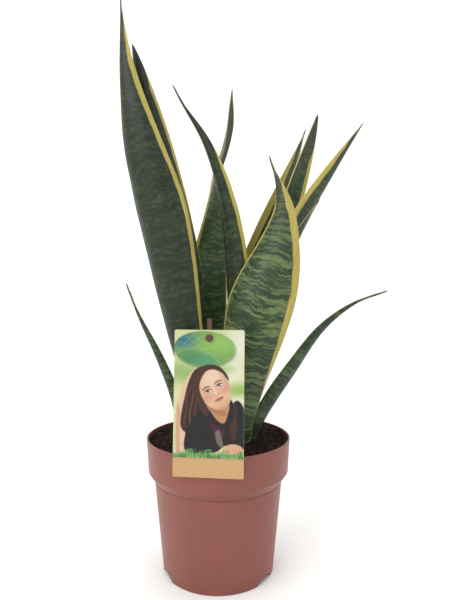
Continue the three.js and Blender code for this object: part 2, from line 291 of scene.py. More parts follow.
def pot_plastic(color):
    """Polypropylene, injection moulded: an even, slightly waxy colour with a soft gloss, faint rings from the
    mould and a pale haze of dust in small patches."""
    material, tree, shader = new_material("polypropylene_moulded_terracotta_brown", 0.42, 1.49)
    place = add(tree, COORDINATES, output="Object")
    clouds = add(tree, NOISE, None, {"Vector": place, "Scale": 22.0, "Detail": 4.0, "Roughness": 0.55})
    shade = add(
        tree,
        RAMP,
        None,
        {"Fac": clouds},
        [
            (0.3, tuple((c * 0.9 for c in color[:3])) + (1,)),
            (0.7, tuple((min(c * 1.08, 1) for c in color[:3])) + (1,)),
        ],
    )
    # Dust: a pale haze in patches of a few millimetres
    dust = add(tree, NOISE, None, {"Vector": place, "Scale": 160.0, "Detail": 6.0, "Roughness": 0.7})
    dust = add(
        tree,
        RANGE,
        None,
        {"Value": dust, "From Min": 0.56, "From Max": 0.8, "To Min": 0.0, "To Max": 0.12},
    )
    dusty = add(tree, MIX, BLEND, {0: dust, 6: shade, 7: linear("9a7263")}, output=2)
    tree.links.new(dusty, shader.inputs["Base Color"])
    # Mould rings about 0.8 mm apart and the fine grain of the tool's surface
    height = add(tree, SPLIT, None, {0: place}, output="Z")
    rings = add(tree, JOIN, None, {"Z": height})
    rings = add(tree, NOISE, None, {"Vector": rings, "Scale": 420.0, "Detail": 3.0})
    grain = add(tree, NOISE, None, {"Vector": place, "Scale": 1400.0, "Detail": 2.0})
    rough = add(
        tree,
        RANGE,
        None,
        {"Value": clouds, "From Min": 0.3, "From Max": 0.7, "To Min": 0.36, "To Max": 0.5},
    )
    tree.links.new(rough, shader.inputs["Roughness"])
    both = add(tree, MATH, MULTIPLY_ADD, {0: grain, 1: 0.4, 2: rings})
    bump = add(tree, BUMP, None, {"Strength": 0.12, "Distance": 0.0003, "Height": both})
    tree.links.new(bump, shader.inputs["Normal"])
    return material


class SNAKEPLANT_OT_pot(bpy.types.Operator):
    """Make the nursery pot: a thin moulded wall with a deep rim band, a raised floor, holes and notches"""

    bl_idname = "snake_plant.pot"
    bl_label = "Nursery pot"

    def execute(self, context):
        sizes = context.scene.snake_plant_pot
        wall = sizes.wall
        band_low = POT_HEIGHT - sizes.rim_depth
        low_radius = RIM_RADIUS - BAND_DRAFT
        neck, neck_height = low_radius - SHOULDER_STEP, band_low - SHOULDER_HEIGHT
        foot = neck - BODY_TAPER

        floor_top = FLOOR_LIFT + FLOOR_THICKNESS

        def body(height):
            return foot + (neck - foot) * height / neck_height

        outside = [
            (0, 0),
            (14, 0),
            (15.2, FLOOR_LIFT),
            (body(FLOOR_LIFT) - wall, FLOOR_LIFT),
            (foot - wall, 0),
            (foot, 0),
            (neck, neck_height - 0.9),
            (neck - 0.5, neck_height - 0.2),
            (neck + 0.5, neck_height + 0.5),
            (neck + 1.6, neck_height + 2.4),
            (low_radius - 0.7, band_low - 1.0),
            (low_radius - 0.1, band_low),
            (low_radius + 0.05, band_low + 0.6),
            (low_radius - 0.02, band_low + 1.6),
            (RIM_RADIUS, POT_HEIGHT),
        ]
        inside = [
            (RIM_RADIUS - wall, POT_HEIGHT),
            (low_radius - wall, band_low),
            (neck - wall, neck_height),
            (body(floor_top) - wall, floor_top),
            (13.8, floor_top),
            (12.6, FLOOR_THICKNESS),
            (0, FLOOR_THICKNESS),
        ]
        profile = rounded(outside + inside, 0.5)
        cutters = []
        for i in range(HOLE_COUNT):
            hole = bmesh.new()
            turn = math.radians(360 / HOLE_COUNT * i)
            at = Vector((HOLE_CIRCLE * math.cos(turn), HOLE_CIRCLE * math.sin(turn), 5.8)) * MM
            bmesh.ops.create_cone(
                hole,
                cap_ends=True,
                segments=40,
                radius1=HOLE_RADIUS * MM,
                radius2=HOLE_RADIUS * MM,
                depth=6 * MM,
                matrix=Matrix.Translation(at),
            )
            cutters.append(hole)
        for i in range(NOTCH_COUNT):
            turn = math.radians(FIRST_NOTCH + 360 / NOTCH_COUNT * i)
            arch = bmesh.new()
            bmesh.ops.create_cone(arch, cap_ends=True, segments=64, radius1=1, radius2=1, depth=12 * MM)
            bmesh.ops.scale(arch, vec=(NOTCH_HEIGHT * MM, NOTCH_WIDTH / 2 * MM, 1), verts=arch.verts)
            bmesh.ops.rotate(
                arch,
                cent=(0, 0, 0),
                matrix=Matrix.Rotation(math.pi / 2, 3, "Y"),
                verts=arch.verts,
            )
            bmesh.ops.translate(arch, vec=((foot - 2) * MM, 0, 0), verts=arch.verts)
            bmesh.ops.rotate(arch, cent=(0, 0, 0), matrix=Matrix.Rotation(turn, 3, "Z"), verts=arch.verts)
            cutters.append(arch)
        pot = cut(spun(profile, 192), cutters)
        finish_piece("nursery_pot", pot, "pot", [pot_plastic(sizes.color)], 40)
        return {"FINISHED"}


# Soil -------------------------------------------------------------------------------------------------


def moist_peat(color):
    """Peat, milled and damp: nearly black crumbs with brown fibres, matt all over."""
    material, tree, shader = new_material("peat_milled_moist", 0.95, 1.4)
    shader.inputs["Specular IOR Level"].default_value = 0.25
    place = add(tree, COORDINATES, output="Object")
    lumps = add(tree, NOISE, None, {"Vector": place, "Scale": 260.0, "Detail": 6.0, "Roughness": 0.7})
    dark = tuple(c * 0.35 for c in color[:3]) + (1,)
    light = tuple(min(c * 2.6, 1) for c in color[:3]) + (1,)
    shade = add(
        tree,
        RAMP,
        None,
        {"Fac": lumps},
        [(0.3, dark), (0.55, tuple(color)), (0.74, light), (0.86, linear("7c5c48"))],
    )
    tree.links.new(shade, shader.inputs["Base Color"])
    fine = add(tree, NOISE, None, {"Vector": place, "Scale": 900.0, "Detail": 5.0, "Roughness": 0.75})
    bump = add(tree, BUMP, None, {"Strength": 0.8, "Distance": 0.0008, "Height": fine})
    tree.links.new(bump, shader.inputs["Normal"])
    return material


def soil_height(x, y, heap):
    """Height of the soil in millimetres: a low heap at the back right and lumps of several sizes."""
    away = (Vector((x, y)) - Vector(HEAP_PLACE)).length / HEAP_RADIUS
    lumps = 1.3 * noise.noise(Vector((x * 0.09, y * 0.09, 1.7)))
    lumps += 0.8 * noise.noise(Vector((x * 0.28, y * 0.28, 5.1)))
    lumps += 0.5 * noise.noise(Vector((x * 0.8, y * 0.8, 9.3)))
    return SOIL_LEVEL + heap * math.exp(-away * away) + lumps


class SNAKEPLANT_OT_soil(bpy.types.Operator):
    """Make the potting soil: a lumpy surface inside the rim, with loose crumbs and a few twigs on it"""

    bl_idname = "snake_plant.soil"
    bl_label = "Potting soil"

    def execute(self, context):
        sizes = context.scene.snake_plant_soil
        edge = RIM_RADIUS - 0.4 - 1.4 - FIT
        profile = [
            (0, 1.9), (12.3, 1.9), (13.5, 6.9), (45.0, 6.9), (51.6, 75.5), (56.8, 83),
            (edge, SOIL_LEVEL),
        ]
        rings = 46
        profile += [(edge * i / rings, SOIL_LEVEL) for i in range(rings - 1, -1, -1)]
        bm = spun(profile, 180)
        for vert in bm.verts:
            if vert.co.z > (SOIL_LEVEL - 0.01) * MM:
                x, y = vert.co.x / MM, vert.co.y / MM
                calm = min(1.0, max(0.0, (edge + 1.0 - math.hypot(x, y)) / 6))
                rise = soil_height(x, y, sizes.heap) - SOIL_LEVEL
                vert.co.z = (SOIL_LEVEL + rise * (0.35 + 0.65 * calm)) * MM
        dice = random.Random(11)
        for _ in range(sizes.crumbs):
            far = (edge - 1.5) * math.sqrt(dice.random())
            turn = dice.uniform(0, 2 * math.pi)
            x, y = far * math.cos(turn), far * math.sin(turn)
            size = dice.choice((0.5, 0.7, 0.9, 1.2, 1.6)) * dice.uniform(0.8, 1.25)
            at = Vector((x, y, soil_height(x, y, sizes.heap) + 0.25 * size)) * MM
            spin = Euler([dice.uniform(0, 6.3) for _ in range(3)]).to_matrix().to_4x4()
            stretch = Matrix.Diagonal(
                (dice.uniform(0.7, 1.5), dice.uniform(0.6, 1.1), dice.uniform(0.5, 0.9), 1),
            )
            made = bmesh.ops.create_icosphere(
                bm, subdivisions=1, radius=size * MM, matrix=Matrix.Translation(at) @ spin @ stretch
            )
            for vert in made["verts"]:
                vert.co += Vector([dice.uniform(-0.18, 0.18) for _ in range(3)]) * size * MM
        for x, y, turn, length in ((-52, 6, 20, 7), (-44, -22, 70, 5), (38, -34, -30, 6), (28, 40, 50, 8)):
            at = Vector((x, y, soil_height(x, y, sizes.heap) + 0.9)) * MM
            lie = Euler((math.radians(84), 0, math.radians(turn))).to_matrix().to_4x4()
            bmesh.ops.create_cone(
                bm,
                cap_ends=True,
                segments=8,
                radius1=0.55 * MM,
                radius2=0.35 * MM,
                depth=length * MM,
                matrix=Matrix.Translation(at) @ lie,
            )
        finish_piece("potting_soil", bm, "soil", [moist_peat(sizes.color)], 35)
        return {"FINISHED"}


# Leaves -----------------------------------------------------------------------------------------------

# Each leaf: where it is rooted in plan and its middle line as (across, back, height over the soil), in
# millimetres, the compass direction that its channel opens to and the half angle of the channel, in degrees,
# from root to tip, its greatest width, the share of it at the root, where it is widest and how early it
# narrows, then its yellow margins on its two sides, as their width and the shares of the leaf where they
# start and end, how strong its cross bands are, how blotched it is, and how light its green is, which on
# the leaves that stand in shade is partly painted shade.
LEAVES = {
    "tall_left_leaf": dict(
        root=(-20, -15),
        line=(
            (-21, -17, 33), (-31, -20, 103), (-46, -22, 178), (-64, -24, 243), (-73.5, -24, 298),
            (-77, -22, 363),
        ),
        facing=(70, 75, 78, 70, 60, 50),
        fold=(75, 60, 55, 50, 50),
        width=50,
        neck=0.32,
        widest=0.55,
        taper=1.7,
        margins=(4.2, 0.8),
        start=(0.2, 0.2),
        end=(0.97, 0.9),
        bands=0.25,
        blotches=1.0,
        tone_and_shade=0.52,
    ),
    "tall_left_back_leaf": dict(
        root=(-17, -5),
        line=((-18, -5, 33), (-27, -6, 103), (-40, -9, 178), (-52.5, -11, 243), (-69.5, -12, 325)),
        facing=(70, 75, 72, 60),
        fold=(75, 60, 50),
        width=42,
        neck=0.3,
        widest=0.5,
        taper=0.8,
        margins=(2.8, 1.0),
        start=(0.55, 0.5),
        end=(0.95, 0.95),
        bands=0.2,
        blotches=0.5,
        tone_and_shade=0.5,
    ),
    "hooked_leaf": dict(
        root=(8, 5),
        line=(
            (12, 4.5, 43), (14, 3.5, 113), (10.5, -1, 168), (2, -6, 213), (-10.5, -10, 247),
            (-29, -12.5, 277), (-37, -13, 292),
        ),
        facing=(60, 54, 56, 60),
        fold=(75, 60, 50),
        width=29.5,
        neck=0.52,
        widest=0.4,
        taper=1.5,
        margins=(3.4, 0.7),
        start=(0.25, 0.3),
        end=(0.84, 0.8),
        bands=0.3,
        blotches=0.9,
        tone_and_shade=0.6,
    ),
    "center_back_leaf": dict(
        root=(-9.5, 20),
        line=(
            (-8.8, 24, 43), (-8.8, 24, 113), (-7.8, 24, 160), (-6, 24, 200), (-3.5, 24, 228),
            (4, 24, 250), (9.5, 24, 273), (12, 24, 303),
        ),
        facing=(-97, -97, -96, -92, -36, -12, -88),
        fold=(75, 40, 33, 35, 45),
        width=35,
        neck=0.5,
        widest=0.41,
        taper=1,
        margins=(3.2, 0.9),
        start=(0.3, 0.3),
        end=(0.84, 0.8),
        bands=0.25,
        blotches=0.6,
        tone_and_shade=1.3,
    ),
    "broad_front_leaf": dict(
        root=(17, -19),
        line=((17, -21, 33), (28, -26, 103), (45, -29, 158), (50.5, -30, 193), (40, -28, 231)),
        facing=(80, 75, 72, 65, 60),
        fold=(70, 45, 40),
        width=60,
        neck=0.29,
        widest=0.54,
        taper=2,
        margins=(6.4, 3.0),
        start=(0.32, 0.3),
        end=(0.95, 0.9),
        bands=1.0,
        blotches=0.25,
        tone_and_shade=1.05,
    ),
    "right_pair_front_leaf": dict(
        root=(22, 32),
        line=((26, 32, 43), (39, 34, 113), (57.5, 36, 183), (75.5, 38, 238), (90.5, 39, 286)),
        facing=(-70, -65, -60),
        fold=(75, 60, 50),
        width=29,
        neck=0.5,
        widest=0.5,
        taper=0.7,
        margins=(0.9, 3.2),
        start=(0.3, 0.3),
        end=(0.9, 0.92),
        bands=0.35,
        blotches=0.9,
        tone_and_shade=1.25,
    ),
    "right_pair_back_leaf": dict(
        root=(6, 38),
        line=((11, 44, 43), (28, 50, 113), (50, 53, 183), (66.5, 53, 233), (81.5, 52, 277)),
        facing=(-95, -100, -105),
        fold=(70, 45, 40),
        width=42,
        neck=0.45,
        widest=0.45,
        taper=1.3,
        margins=(6.5, 3.5),
        start=(0.3, 0.3),
        end=(0.97, 0.97),
        bands=0.5,
        blotches=0.8,
        tone_and_shade=0.9,
    ),
    "right_back_leaf": dict(
        root=(34, 19),
        line=((36, 18, 43), (48, 15, 113), (71, 13, 178), (100, 13, 230), (125.5, 14, 271)),
        facing=(165, 155, 150),
        fold=(75, 70, 65),
        width=35,
        neck=0.45,
        widest=0.55,
        taper=1.2,
        margins=(0.9, 4.4),
        start=(0.3, 0.3),
        end=(0.95, 0.97),
        bands=0.3,
        blotches=0.8,
        tone_and_shade=1.05,
    ),
    "short_right_back_leaf": dict(
        root=(25, 10),
        line=((27.5, 7.5, 8), (31.5, 0.8, 43), (40, -1, 93), (58.5, -1, 155), (85, 1, 202)),
        facing=(-120, -120, -120),
        fold=(75, 60, 50),
        width=21,
        neck=0.48,
        widest=0.45,
        taper=1.2,
        margins=(0.9, 0.9),
        start=(0.3, 0.3),
        end=(0.95, 0.95),
        bands=0.3,
        blotches=0.7,
        tone_and_shade=1.0,
    ),
    "arched_right_leaf": dict(
        root=(29, -9.5),
        line=(
            (31, -9.5, 4), (39.5, -10, 24), (62.5, -9, 59), (86.5, -8, 93), (113, -7, 114.5),
            (141, -5, 125),
        ),
        facing=(150, 150, 150),
        fold=(75, 70, 60),
        width=22,
        neck=0.62,
        widest=0.35,
        taper=1.8,
        margins=(0.0, 0.0),
        start=(0.3, 0.3),
        end=(0.9, 0.9),
        bands=0.6,
        blotches=0.55,
        tone_and_shade=0.85,
    ),
    "short_left_leaf": dict(
        root=(-25, -27),
        line=((-33, -28, 33), (-46, -30, 71), (-61.5, -31, 105), (-71.5, -31, 131)),
        facing=(50, 50, 50),
        fold=(80, 75, 70),
        width=13,
        neck=0.7,
        widest=0.3,
        taper=1.4,
        margins=(0.8, 0.8),
        start=(0.3, 0.3),
        end=(0.9, 0.9),
        bands=0.5,
        blotches=0.6,
        tone_and_shade=0.9,
    ),
}
ROOTING_DEPTH = 27


def middle_line(points):
    """Smooth curve through points, as a function of how far along it is, from 0 to 1."""
    points = [Vector(point) for point in points]
    stops = [0.0]
    for a, b in zip(points, points[1:]):
        stops.append(stops[-1] + (b - a).length)
    total = stops[-1]
    stops = [stop / total for stop in stops]
    last = len(points) - 1
    slopes = []
    for i in range(len(points)):
        a, b = max(i - 1, 0), min(i + 1, last)
        slopes.append((points[b] - points[a]) / (stops[b] - stops[a]))

    def at(t):
        i = 0
        while i < last - 1 and t >= stops[i + 1]:
            i += 1
        span = stops[i + 1] - stops[i]
        s = (t - stops[i]) / span
        return (
            points[i] * (2 * s**3 - 3 * s**2 + 1)
            + slopes[i] * (s**3 - 2 * s**2 + s) * span
            + points[i + 1] * (3 * s**2 - 2 * s**3)
            + slopes[i + 1] * (s**3 - s**2) * span
        )

    return at, total


def ramp(values, t):
    """Smooth value at t of evenly spaced values."""
    last = len(values) - 1
    place = min(max(t, 0.0), 1.0) * last
    i = min(int(place), last - 1)
    f = place - i
    a, b = values[i], values[i + 1]
    before = values[i - 1] if i > 0 else 2 * values[0] - values[1]
    after = values[i + 2] if i + 2 <= last else 2 * values[last] - values[last - 1]
    bend = 2 * before - 5 * a + 4 * b - after + f * (3 * (a - b) + after - before)
    return a + 0.5 * f * (b - before + f * bend)


def half_width(leaf, t):
    """Half the width at t: it widens from the root, then narrows to a drawn-out point."""
    if t < leaf["widest"]:
        a = t / leaf["widest"]
        share = leaf["neck"] + (1 - leaf["neck"]) * a * a * (3 - 2 * a)
    else:
        past = min((t - leaf["widest"]) / (1 - leaf["widest"]), 1.0)
        share = (1 - past**1.8) ** leaf["taper"]
    point = 0.9 * math.sqrt(min(max((1 - t) / 0.05, 0), 1)) + 0.12
    return max(leaf["width"] / 2 * share, point)


def snake_plant_leaf(sizes):
    """Leaf of a snake plant, grown: a leathery skin under a thin wax, dark green with wavy grey-green cross
    bands, yellow margins and a brown point. The bands are 4 to 8 mm apart, and the fibres about 0.5 mm."""
    material, tree, shader = new_material("snake_plant_leaf_waxy", 0.42, 1.4)
    shader.inputs["Coat Weight"].default_value = 0.05
    shader.inputs["Coat Roughness"].default_value = 0.32

    blade = add(tree, ATTRIBUTE, {"attribute_name": "blade"}, output="Vector")
    add(tree, SPLIT, None, {0: blade})
    across, along, edge = (tree.nodes[-1].outputs[axis] for axis in "XYZ")
    habit = add(tree, ATTRIBUTE, {"attribute_name": "habit"}, output="Vector")
    add(tree, SPLIT, None, {0: habit})
    margin, banding, blotching = (tree.nodes[-1].outputs[axis] for axis in "XYZ")
    age = add(tree, ATTRIBUTE, {"attribute_name": "age"}, output="Vector")
    add(tree, SPLIT, None, {0: age})
    share_along, seed, painted_sheen = (tree.nodes[-1].outputs[axis] for axis in "XYZ")
    tone_and_shade = add(tree, ATTRIBUTE, {"attribute_name": "tone_and_shade"}, output="Fac")

    # Cross bands: a cloud that is squeezed along the leaf, pushed up and down by two other clouds
    slow = add(
        tree,
        NOISE,
        None,
        {
            "Vector": add(
                tree,
                JOIN,
                None,
                {
                    "X": add(tree, MATH, MULTIPLY, {0: across, 1: 0.075}),
                    "Y": add(tree, MATH, MULTIPLY, {0: along, 1: 0.02}),
                    "Z": seed,
                },
            ),
            "Scale": 1.0,
            "Detail": 2.0,
        },
    )
    quick = add(
        tree,
        NOISE,
        None,
        {
            "Vector": add(
                tree,
                JOIN,
                None,
                {
                    "X": add(tree, MATH, MULTIPLY, {0: across, 1: 0.6}),
                    "Y": add(tree, MATH, MULTIPLY, {0: along, 1: 0.12}),
                    "Z": seed,
                },
            ),
            "Scale": 1.0,
            "Detail": 2.0,
            "Roughness": 0.6,
        },
    )
    lifted = add(tree, MATH, MULTIPLY_ADD, {0: slow, 1: 11.0, 2: along})
    lifted = add(tree, MATH, MULTIPLY_ADD, {0: quick, 1: 3.4, 2: lifted})
    bands = add(
        tree,
        NOISE,
        None,
        {
            "Vector": add(
                tree,
                JOIN,
                None,
                {
                    "X": add(tree, MATH, MULTIPLY, {0: across, 1: 0.03}),
                    "Y": add(tree, MATH, MULTIPLY, {0: lifted, 1: 0.24}),
                    "Z": seed,
                },
            ),
            "Scale": 1.0,
            "Detail": 3.0,
            "Roughness": 0.6,
        },
    )
    bands = add(tree, RANGE, SMOOTH, {"Value": bands, "From Min": 0.36, "From Max": 0.6})
    blotch = add(
        tree,
        NOISE,
        None,
        {
            "Vector": add(
                tree,
                JOIN,
                None,
                {
                    "X": add(tree, MATH, MULTIPLY, {0: across, 1: 0.32}),
                    "Y": add(tree, MATH, MULTIPLY, {0: along, 1: 0.26}),
                    "Z": seed,
                },
            ),
            "Scale": 1.0,
            "Detail": 4.0,
            "Roughness": 0.68,
        },
    )
    blotch = add(tree, RANGE, SMOOTH, {"Value": blotch, "From Min": 0.4, "From Max": 0.66})
    # Dark, thin, wavy lines that stand between the bands
    line = add(
        tree,
        NOISE,
        None,
        {
            "Vector": add(
                tree,
                JOIN,
                None,
                {
                    "X": add(tree, MATH, MULTIPLY, {0: across, 1: 0.03}),
                    "Y": add(tree, MATH, MULTIPLY, {0: lifted, 1: 0.2}),
                    "Z": add(tree, MATH, SUM, {0: seed, 1: 7.0}),
                },
            ),
            "Scale": 1.0,
            "Detail": 2.0,
            "Roughness": 0.5,
        },
    )
    line = add(tree, MATH, ABSOLUTE, {0: add(tree, MATH, SUBTRACT, {0: line, 1: 0.5})})
    line = add(
        tree,
        RANGE,
        SMOOTH,
        {"Value": line, "From Min": 0.015, "From Max": 0.085, "To Min": 1.0, "To Max": 0.0},
    )

    even = add(tree, MATH, SUBTRACT, {0: 1.0, 1: add(tree, MATH, MULTIPLY, {0: blotching, 1: 0.75})})
    mixed = add(
        tree,
        MATH,
        MULTIPLY_ADD,
        {
            0: bands,
            1: even,
            2: add(
                tree,
                MATH,
                MULTIPLY,
                {0: add(tree, MATH, MULTIPLY, {0: blotch, 1: blotching}), 1: 0.75},
            ),
        },
    )
    light = add(
        tree,
        MATH,
        MULTIPLY,
        {0: mixed, 1: add(tree, MATH, MULTIPLY_ADD, {0: banding, 1: 0.6, 2: 0.4})},
    )
    light = add(
        tree,
        MATH,
        MULTIPLY,
        {
            0: light,
            1: add(tree, MATH, SUBTRACT, {0: 1.0, 1: add(tree, MATH, MULTIPLY, {0: line, 1: 0.95})}),
        },
    )
    face = add(tree, MIX, BLEND, {0: light, 6: tuple(sizes.green), 7: tuple(sizes.band)}, output=2)
    # Painted sheen: the face is greyed towards the point, a painted reflection of the sky on the wax
    face = add(
        tree,
        MIX,
        BLEND,
        {0: add(tree, MATH, MULTIPLY, {0: painted_sheen, 1: 0.45}), 6: face, 7: linear("5b6154")},
        output=2,
    )
    fibre = add(
        tree,
        NOISE,
        None,
        {
            "Vector": add(
                tree,
                JOIN,
                None,
                {
                    "X": add(tree, MATH, MULTIPLY, {0: across, 1: 2.1}),
                    "Y": add(tree, MATH, MULTIPLY, {0: along, 1: 0.035}),
                    "Z": seed,
                },
            ),
            "Scale": 1.0,
            "Detail": 3.0,
        },
    )
    face = add(
        tree,
        MIX,
        DARKEN,
        {
            0: 0.35,
            6: face,
            7: add(
                tree,
                RANGE,
                SMOOTH,
                {"Value": fibre, "From Min": 0.3, "From Max": 0.7, "To Min": 0.35, "To Max": 1.0},
            ),
        },
        output=2,
    )
    # Lightness of each leaf, partly its own green and partly painted shade: darker low in the clump, where
    # shade falls between the leaves, and darker towards the point
    face = add(tree, MIX, DARKEN, {0: 1.0, 6: face, 7: tone_and_shade}, output=2)

    # Yellow margins, streaked along the leaf with green and cream
    wander = add(
        tree,
        NOISE,
        None,
        {
            "Vector": add(
                tree,
                JOIN,
                None,
                {
                    "X": 0.3,
                    "Y": add(tree, MATH, MULTIPLY, {0: along, 1: 0.09}),
                    "Z": add(tree, MATH, MULTIPLY_ADD, {0: across, 1: 0.05, 2: seed}),
                },
            ),
            "Scale": 1.0,
            "Detail": 3.0,
            "Roughness": 0.6,
        },
    )
    limit = add(
        tree,
        MATH,
        MULTIPLY_ADD,
        {
            0: add(tree, MATH, SUBTRACT, {0: wander, 1: 0.5}),
            1: add(tree, MATH, MULTIPLY, {0: margin, 1: 0.45}),
            2: margin,
        },
    )
    yellow = add(
        tree,
        RANGE,
        SMOOTH,
        {"Value": add(tree, MATH, SUBTRACT, {0: limit, 1: edge}), "From Min": -0.25, "From Max": 0.35},
    )
    yellow = add(
        tree,
        MATH,
        MULTIPLY,
        {0: yellow, 1: add(tree, RANGE, SMOOTH, {"Value": margin, "From Min": 0.1, "From Max": 0.6})},
    )
    streak = add(
        tree,
        NOISE,
        None,
        {
            "Vector": add(
                tree,
                JOIN,
                None,
                {
                    "X": add(tree, MATH, MULTIPLY, {0: across, 1: 1.1}),
                    "Y": add(tree, MATH, MULTIPLY, {0: along, 1: 0.03}),
                    "Z": seed,
                },
            ),
            "Scale": 1.0,
            "Detail": 2.0,
            "Roughness": 0.6,
        },
    )
    streaked = add(
        tree,
        MIX,
        BLEND,
        {
            0: add(
                tree,
                RANGE,
                SMOOTH,
                {"Value": streak, "From Min": 0.52, "From Max": 0.72, "To Min": 0.0, "To Max": 0.55},
            ),
            6: tuple(sizes.margin),
            7: linear("6c7638"),
        },
        output=2,
    )
    streaked = add(
        tree,
        MIX,
        BLEND,
        {
            0: add(
                tree,
                RANGE,
                SMOOTH,
                {"Value": streak, "From Min": 0.28, "From Max": 0.44, "To Min": 0.5, "To Max": 0.0},
            ),
            6: streaked,
            7: linear("c6ba80"),
        },
        output=2,
    )
    skin = add(tree, MIX, BLEND, {0: yellow, 6: face, 7: streaked}, output=2)
    # A dark line where green meets yellow, and a pale line painted along the thin edge: a painted highlight
    # where the edge catches the light
    seam = add(tree, MATH, ABSOLUTE, {0: add(tree, MATH, SUBTRACT, {0: limit, 1: edge})})
    seam = add(
        tree,
        MATH,
        MULTIPLY,
        {
            0: add(
                tree,
                RANGE,
                SMOOTH,
                {"Value": seam, "From Min": 0.15, "From Max": 0.7, "To Min": 0.35, "To Max": 0.0},
            ),
            1: add(tree, RANGE, SMOOTH, {"Value": margin, "From Min": 0.6, "From Max": 1.5}),
        },
    )
    skin = add(tree, MIX, BLEND, {0: seam, 6: skin, 7: linear("3a4426")}, output=2)
    # Painted highlight: pale along the outer 0.6 mm of the edge, from about a fifth of the way up the leaf
    edge_highlight = add(
        tree,
        RANGE,
        SMOOTH,
        {"Value": edge, "From Min": 0.2, "From Max": 0.6, "To Min": 0.75, "To Max": 0.0},
    )
    rimmed = add(tree, RANGE, SMOOTH, {"Value": share_along, "From Min": 0.16, "From Max": 0.3})
    skin = add(
        tree,
        MIX,
        BLEND,
        {0: add(tree, MATH, MULTIPLY, {0: edge_highlight, 1: rimmed}), 6: skin, 7: linear("b3ab7c")},
        output=2,
    )
    # Brown, dry point
    point = add(tree, RANGE, SMOOTH, {"Value": share_along, "From Min": 0.968, "From Max": 0.99})
    skin = add(tree, MIX, BLEND, {0: point, 6: skin, 7: linear("3a342d")}, output=2)
    tree.links.new(skin, shader.inputs["Base Color"])

    gloss = add(
        tree,
        RANGE,
        SMOOTH,
        {"Value": bands, "From Min": 0.0, "From Max": 1.0, "To Min": 0.36, "To Max": 0.48},
    )
    tree.links.new(gloss, shader.inputs["Roughness"])
    relief = add(
        tree,
        MATH,
        MULTIPLY_ADD,
        {0: fibre, 1: 0.5, 2: add(tree, MATH, MULTIPLY, {0: bands, 1: 0.35})},
    )
    bump = add(tree, BUMP, None, {"Strength": 0.35, "Distance": 0.0003, "Height": relief})
    tree.links.new(bump, shader.inputs["Normal"])
    return material


def leaf_mesh(leaf, sizes, seed):
    """A leaf as a grid wrapped round the blade: a channel, thick in the middle and thin at its edges."""
    columns, rings = sizes.columns, sizes.rings
    points = [(*leaf["root"], -ROOTING_DEPTH), *leaf["line"]]
    line, length = middle_line([(x, y, z + SOIL_LEVEL) for x, y, z in points])
    bm = bmesh.new()
    bmesh.ops.create_grid(bm, x_segments=2 * columns, y_segments=rings + 1, size=0.5)
    blade = bm.verts.layers.float_vector.new("blade")
    habit = bm.verts.layers.float_vector.new("habit")
    age = bm.verts.layers.float_vector.new("age")
    tone_and_shade = bm.verts.layers.float.new("tone_and_shade")
    frames = []
    for ring in range(rings + 2):
        t = min(max((ring - 1) / (rings - 1), 0.0), 1.0)
        along = (line(min(t + 1e-3, 1)) - line(max(t - 1e-3, 0))).normalized()
        compass = math.radians(ramp(leaf["facing"], t))
        opening = Vector((math.cos(compass), math.sin(compass), 0))
        opening = (opening - along * opening.dot(along)).normalized()
        frames.append(
            (
                t, line(t), opening, along.cross(opening), math.radians(ramp(leaf["fold"], t)),
                half_width(leaf, t),
            ),
        )
    for vert in bm.verts:
        step = round((vert.co.x + 0.5) * 2 * columns) % (2 * columns)
        ring = round((vert.co.y + 0.5) * (rings + 1))
        t, middle, opening, across, fold, width = frames[ring]
        column, side = (step, 1) if step < columns else (2 * columns - 1 - step, -1)
        s = 2 * column / (columns - 1) - 1
        share = s * (1.5 - 0.5 * s * s)
        angle, radius = fold * share, width / fold
        body = 0.35 + 0.65 * min(2 * width / leaf["width"], 1)
        full = sizes.thickness / 2 * body * (1 - 0.62 * abs(share) ** 2.5)
        rim = max(0.0, (abs(share) - 0.95) / 0.05)
        full *= math.sqrt(max(1 - rim * rim, 0.02))
        thick = 0.0 if ring in (0, rings + 1) else min(full, 0.8 * width)
        # The blade is never quite even: its edges wave a little and its face has long shallow folds
        far = t * length
        wave = 0.45 * noise.noise(Vector((far * 0.03, seed, math.copysign(3, share)))) * abs(share) ** 2
        wave += 0.22 * noise.noise(Vector((share * width * 0.16, far * 0.012, seed + 40)))
        wave *= min(1.0, width / 8)
        reach = radius - side * thick - wave
        spot = middle + across * (reach * math.sin(angle)) + opening * (radius - reach * math.cos(angle))
        vert.co = spot * MM
        edge = max(width * (1 - abs(share)), 0.0) + 0.4 * abs(thick) * rim
        edge_side = 1 if share > 0 else 0
        margin = leaf["margins"][edge_side]
        begun = min(max((t - leaf["start"][edge_side] + 0.12) / 0.3, 0.0), 1.0)
        drawn = 1 - min(max((t - leaf["end"][edge_side]) / 0.06 + 1, 0.0), 1.0)
        slim = min(1.0, width / 9) * (0.12 + 0.88 * begun)
        vert[blade] = (width * share + (0.0 if side > 0 else 400.0), far, edge)
        vert[habit] = (margin * slim * drawn, leaf["bands"], leaf["blotches"])
        # Lightness: the leaf's value, partly painted shade, times a painted shade that darkens the face low in
        # the clump, eases off halfway up and darkens again towards the point
        vert[tone_and_shade] = leaf["tone_and_shade"] * (0.62 + 0.38 * math.sin(math.pi * min(max(t * 1.05, 0.0), 1.0)))
        # The third value of age is the painted sheen: nothing below 0.62 of the length, rising to full at the
        # point
        vert[age] = (t, seed, min(1.0, max(0.0, (t - 0.62) / 0.38)) ** 1.5)
    bmesh.ops.remove_doubles(bm, verts=bm.verts, dist=1e-8)
    ends = [edge for edge in bm.edges if edge.is_boundary]
    if ends:
        bmesh.ops.holes_fill(bm, edges=ends)
    bmesh.ops.recalc_face_normals(bm, faces=bm.faces)
    return bm


